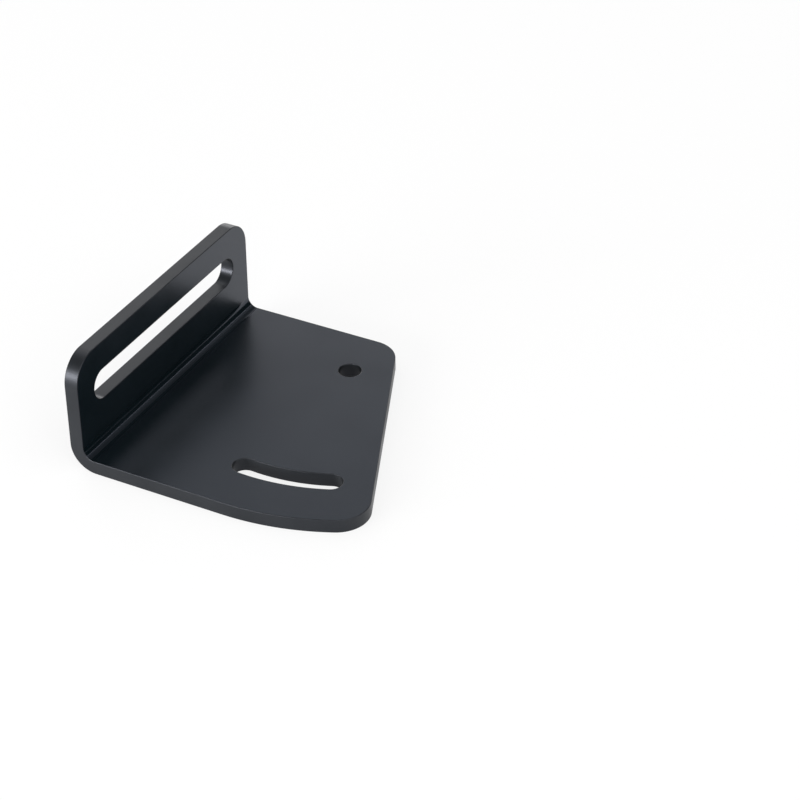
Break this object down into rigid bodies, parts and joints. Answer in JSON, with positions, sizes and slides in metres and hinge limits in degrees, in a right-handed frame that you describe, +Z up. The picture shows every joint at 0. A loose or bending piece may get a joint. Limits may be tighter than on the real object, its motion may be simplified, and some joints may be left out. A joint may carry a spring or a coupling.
{
  "type": "servo bracket",
  "caption": "Left-hand folded sheet bracket: an upright flange with a long straight slot, and a flat plate with a pivot hole and a concentric arc slot for setting an angle.",
  "frame": {"origin": "centre of the pivot hole on the underside of the plate", "axes": "+Z up, square to the plate, the way the flange stands; +X away from the flange, square to it; +Y along the bend, from the wide front edge to the narrow back edge"},
  "size_m": [0.0807, 0.085, 0.0335],
  "materials": {
    "satin_black_coat": "satin black coat over folded sheet metal"
  },
  "bodies": {
    "root": {"bracket": "satin_black_coat"}
  },
  "joints": []
}
